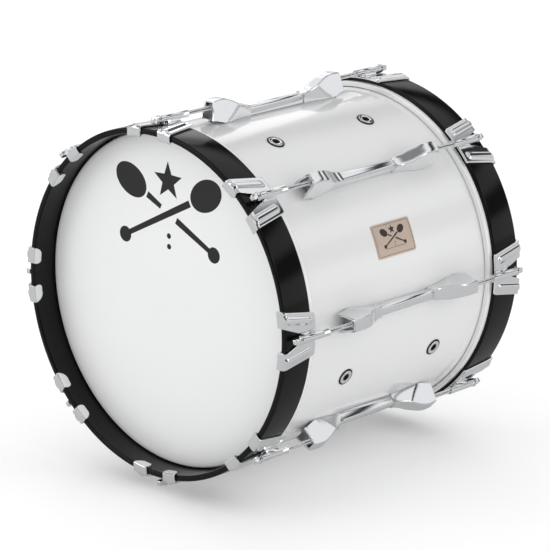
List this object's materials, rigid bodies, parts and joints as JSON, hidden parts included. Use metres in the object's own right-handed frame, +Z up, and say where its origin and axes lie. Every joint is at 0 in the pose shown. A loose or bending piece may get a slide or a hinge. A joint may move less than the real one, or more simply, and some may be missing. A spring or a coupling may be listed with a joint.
{
  "type": "marching bass drum",
  "caption": "Marching bass drum: a white shell with black counter hoops, claws, tension rods and long bridge lugs, and threaded carrier inserts.",
  "frame": {"origin": "the drum's centre, on its axis half-way between the heads", "axes": "+Y runs along the drum's axis from the front head to the rear head, so the front head faces -Y; +Z is up, through the first tension station; +X is the side of the badge and the carrier inserts"},
  "size_m": [0.4662, 0.428, 0.4662],
  "materials": {
    "shell_ply": "bare birch plies, sanded",
    "wrap": "white gloss covering",
    "head_film": "smooth white film",
    "flesh_hoop_metal": "satin aluminium",
    "hoop_lacquer": "black gloss lacquer on maple plies",
    "lug_chrome": "chrome-plated die casting",
    "claw_chrome": "chrome-plated casting",
    "rod_chrome": "chrome-plated steel",
    "nut_brass": "plated brass",
    "zinc_steel": "zinc-plated steel",
    "gasket_rubber": "thin moulded gasket",
    "insert_chrome": "chrome-plated steel",
    "ring_rubber": "black rubber",
    "print_ink": "black screen-printed ink on the front head",
    "badge_metal": "champagne anodised plate"
  },
  "bodies": {
    "drum": {"shell": "shell_ply", "shell_wrap": "wrap", "front_head": "head_film", "rear_head": "head_film", "front_flesh_hoop": "flesh_hoop_metal", "rear_flesh_hoop": "flesh_hoop_metal", "front_hoop": "hoop_lacquer", "rear_hoop": "hoop_lacquer", "lug_1": "lug_chrome", "lug_2": "lug_chrome", "lug_3": "lug_chrome", "lug_4": "lug_chrome", "lug_5": "lug_chrome", "lug_6": "lug_chrome", "lug_7": "lug_chrome", "lug_8": "lug_chrome", "lug_bars": "lug_chrome", "swivel_nuts": "nut_brass", "lug_screws": "zinc_steel", "lug_washers": "zinc_steel", "lug_gaskets": "gasket_rubber", "insert_bushes": "insert_chrome", "insert_rings": "ring_rubber", "insert_nuts": "zinc_steel", "badge": "badge_metal"},
    "front_claw_1": {"claw_front_1": "claw_chrome"},
    "front_rod_1": {"tension_rod_front_1": "rod_chrome"},
    "front_claw_2": {"claw_front_2": "claw_chrome"},
    "front_rod_2": {"tension_rod_front_2": "rod_chrome"},
    "front_claw_3": {"claw_front_3": "claw_chrome"},
    "front_rod_3": {"tension_rod_front_3": "rod_chrome"},
    "front_claw_4": {"claw_front_4": "claw_chrome"},
    "front_rod_4": {"tension_rod_front_4": "rod_chrome"},
    "front_claw_5": {"claw_front_5": "claw_chrome"},
    "front_rod_5": {"tension_rod_front_5": "rod_chrome"},
    "front_claw_6": {"claw_front_6": "claw_chrome"},
    "front_rod_6": {"tension_rod_front_6": "rod_chrome"},
    "front_claw_7": {"claw_front_7": "claw_chrome"},
    "front_rod_7": {"tension_rod_front_7": "rod_chrome"},
    "front_claw_8": {"claw_front_8": "claw_chrome"},
    "front_rod_8": {"tension_rod_front_8": "rod_chrome"},
    "rear_claw_1": {"claw_rear_1": "claw_chrome"},
    "rear_rod_1": {"tension_rod_rear_1": "rod_chrome"},
    "rear_claw_2": {"claw_rear_2": "claw_chrome"},
    "rear_rod_2": {"tension_rod_rear_2": "rod_chrome"},
    "rear_claw_3": {"claw_rear_3": "claw_chrome"},
    "rear_rod_3": {"tension_rod_rear_3": "rod_chrome"},
    "rear_claw_4": {"claw_rear_4": "claw_chrome"},
    "rear_rod_4": {"tension_rod_rear_4": "rod_chrome"},
    "rear_claw_5": {"claw_rear_5": "claw_chrome"},
    "rear_rod_5": {"tension_rod_rear_5": "rod_chrome"},
    "rear_claw_6": {"claw_rear_6": "claw_chrome"},
    "rear_rod_6": {"tension_rod_rear_6": "rod_chrome"},
    "rear_claw_7": {"claw_rear_7": "claw_chrome"},
    "rear_rod_7": {"tension_rod_rear_7": "rod_chrome"},
    "rear_claw_8": {"claw_rear_8": "claw_chrome"},
    "rear_rod_8": {"tension_rod_rear_8": "rod_chrome"}
  },
  "joints": [
    {"name": "front_claw_1_slide", "type": "slide", "parent": "drum", "child": "front_claw_1", "axis": [0, -1, 0], "range_m": [0, 0.0127]},
    {"name": "front_rod_1_turn", "type": "hinge", "parent": "front_claw_1", "child": "front_rod_1", "pos_m": [0, -0.168, 0.223], "axis": [0, -1, 0], "range_deg": [0, 4322]},
    {"name": "front_claw_2_slide", "type": "slide", "parent": "drum", "child": "front_claw_2", "axis": [0, -1, 0], "range_m": [0, 0.0127]},
    {"name": "front_rod_2_turn", "type": "hinge", "parent": "front_claw_2", "child": "front_rod_2", "pos_m": [0.15768, -0.168, 0.15768], "axis": [0, -1, 0], "range_deg": [0, 4322]},
    {"name": "front_claw_3_slide", "type": "slide", "parent": "drum", "child": "front_claw_3", "axis": [0, -1, 0], "range_m": [0, 0.0127]},
    {"name": "front_rod_3_turn", "type": "hinge", "parent": "front_claw_3", "child": "front_rod_3", "pos_m": [0.223, -0.168, 0], "axis": [0, -1, 0], "range_deg": [0, 4322]},
    {"name": "front_claw_4_slide", "type": "slide", "parent": "drum", "child": "front_claw_4", "axis": [0, -1, 0], "range_m": [0, 0.0127]},
    {"name": "front_rod_4_turn", "type": "hinge", "parent": "front_claw_4", "child": "front_rod_4", "pos_m": [0.15768, -0.168, -0.15768], "axis": [0, -1, 0], "range_deg": [0, 4322]},
    {"name": "front_claw_5_slide", "type": "slide", "parent": "drum", "child": "front_claw_5", "axis": [0, -1, 0], "range_m": [0, 0.0127]},
    {"name": "front_rod_5_turn", "type": "hinge", "parent": "front_claw_5", "child": "front_rod_5", "pos_m": [0, -0.168, -0.223], "axis": [0, -1, 0], "range_deg": [0, 4322]},
    {"name": "front_claw_6_slide", "type": "slide", "parent": "drum", "child": "front_claw_6", "axis": [0, -1, 0], "range_m": [0, 0.0127]},
    {"name": "front_rod_6_turn", "type": "hinge", "parent": "front_claw_6", "child": "front_rod_6", "pos_m": [-0.15768, -0.168, -0.15768], "axis": [0, -1, 0], "range_deg": [0, 4322]},
    {"name": "front_claw_7_slide", "type": "slide", "parent": "drum", "child": "front_claw_7", "axis": [0, -1, 0], "range_m": [0, 0.0127]},
    {"name": "front_rod_7_turn", "type": "hinge", "parent": "front_claw_7", "child": "front_rod_7", "pos_m": [-0.223, -0.168, 0], "axis": [0, -1, 0], "range_deg": [0, 4322]},
    {"name": "front_claw_8_slide", "type": "slide", "parent": "drum", "child": "front_claw_8", "axis": [0, -1, 0], "range_m": [0, 0.0127]},
    {"name": "front_rod_8_turn", "type": "hinge", "parent": "front_claw_8", "child": "front_rod_8", "pos_m": [-0.15768, -0.168, 0.15768], "axis": [0, -1, 0], "range_deg": [0, 4322]},
    {"name": "rear_claw_1_slide", "type": "slide", "parent": "drum", "child": "rear_claw_1", "axis": [0, 1, 0], "range_m": [0, 0.0127]},
    {"name": "rear_rod_1_turn", "type": "hinge", "parent": "rear_claw_1", "child": "rear_rod_1", "pos_m": [0, 0.168, 0.223], "axis": [0, 1, 0], "range_deg": [0, 4322]},
    {"name": "rear_claw_2_slide", "type": "slide", "parent": "drum", "child": "rear_claw_2", "axis": [0, 1, 0], "range_m": [0, 0.0127]},
    {"name": "rear_rod_2_turn", "type": "hinge", "parent": "rear_claw_2", "child": "rear_rod_2", "pos_m": [0.15768, 0.168, 0.15768], "axis": [0, 1, 0], "range_deg": [0, 4322]},
    {"name": "rear_claw_3_slide", "type": "slide", "parent": "drum", "child": "rear_claw_3", "axis": [0, 1, 0], "range_m": [0, 0.0127]},
    {"name": "rear_rod_3_turn", "type": "hinge", "parent": "rear_claw_3", "child": "rear_rod_3", "pos_m": [0.223, 0.168, 0], "axis": [0, 1, 0], "range_deg": [0, 4322]},
    {"name": "rear_claw_4_slide", "type": "slide", "parent": "drum", "child": "rear_claw_4", "axis": [0, 1, 0], "range_m": [0, 0.0127]},
    {"name": "rear_rod_4_turn", "type": "hinge", "parent": "rear_claw_4", "child": "rear_rod_4", "pos_m": [0.15768, 0.168, -0.15768], "axis": [0, 1, 0], "range_deg": [0, 4322]},
    {"name": "rear_claw_5_slide", "type": "slide", "parent": "drum", "child": "rear_claw_5", "axis": [0, 1, 0], "range_m": [0, 0.0127]},
    {"name": "rear_rod_5_turn", "type": "hinge", "parent": "rear_claw_5", "child": "rear_rod_5", "pos_m": [0, 0.168, -0.223], "axis": [0, 1, 0], "range_deg": [0, 4322]},
    {"name": "rear_claw_6_slide", "type": "slide", "parent": "drum", "child": "rear_claw_6", "axis": [0, 1, 0], "range_m": [0, 0.0127]},
    {"name": "rear_rod_6_turn", "type": "hinge", "parent": "rear_claw_6", "child": "rear_rod_6", "pos_m": [-0.15768, 0.168, -0.15768], "axis": [0, 1, 0], "range_deg": [0, 4322]},
    {"name": "rear_claw_7_slide", "type": "slide", "parent": "drum", "child": "rear_claw_7", "axis": [0, 1, 0], "range_m": [0, 0.0127]},
    {"name": "rear_rod_7_turn", "type": "hinge", "parent": "rear_claw_7", "child": "rear_rod_7", "pos_m": [-0.223, 0.168, 0], "axis": [0, 1, 0], "range_deg": [0, 4322]},
    {"name": "rear_claw_8_slide", "type": "slide", "parent": "drum", "child": "rear_claw_8", "axis": [0, 1, 0], "range_m": [0, 0.0127]},
    {"name": "rear_rod_8_turn", "type": "hinge", "parent": "rear_claw_8", "child": "rear_rod_8", "pos_m": [-0.15768, 0.168, 0.15768], "axis": [0, 1, 0], "range_deg": [0, 4322]}
  ],
  "couplings": [
    {"joint": "front_rod_1_turn", "follows": "front_claw_1_slide", "rad_per_m": 5938.7},
    {"joint": "front_rod_2_turn", "follows": "front_claw_2_slide", "rad_per_m": 5938.7},
    {"joint": "front_rod_3_turn", "follows": "front_claw_3_slide", "rad_per_m": 5938.7},
    {"joint": "front_rod_4_turn", "follows": "front_claw_4_slide", "rad_per_m": 5938.7},
    {"joint": "front_rod_5_turn", "follows": "front_claw_5_slide", "rad_per_m": 5938.7},
    {"joint": "front_rod_6_turn", "follows": "front_claw_6_slide", "rad_per_m": 5938.7},
    {"joint": "front_rod_7_turn", "follows": "front_claw_7_slide", "rad_per_m": 5938.7},
    {"joint": "front_rod_8_turn", "follows": "front_claw_8_slide", "rad_per_m": 5938.7},
    {"joint": "rear_rod_1_turn", "follows": "rear_claw_1_slide", "rad_per_m": 5938.7},
    {"joint": "rear_rod_2_turn", "follows": "rear_claw_2_slide", "rad_per_m": 5938.7},
    {"joint": "rear_rod_3_turn", "follows": "rear_claw_3_slide", "rad_per_m": 5938.7},
    {"joint": "rear_rod_4_turn", "follows": "rear_claw_4_slide", "rad_per_m": 5938.7},
    {"joint": "rear_rod_5_turn", "follows": "rear_claw_5_slide", "rad_per_m": 5938.7},
    {"joint": "rear_rod_6_turn", "follows": "rear_claw_6_slide", "rad_per_m": 5938.7},
    {"joint": "rear_rod_7_turn", "follows": "rear_claw_7_slide", "rad_per_m": 5938.7},
    {"joint": "rear_rod_8_turn", "follows": "rear_claw_8_slide", "rad_per_m": 5938.7}
  ]
}
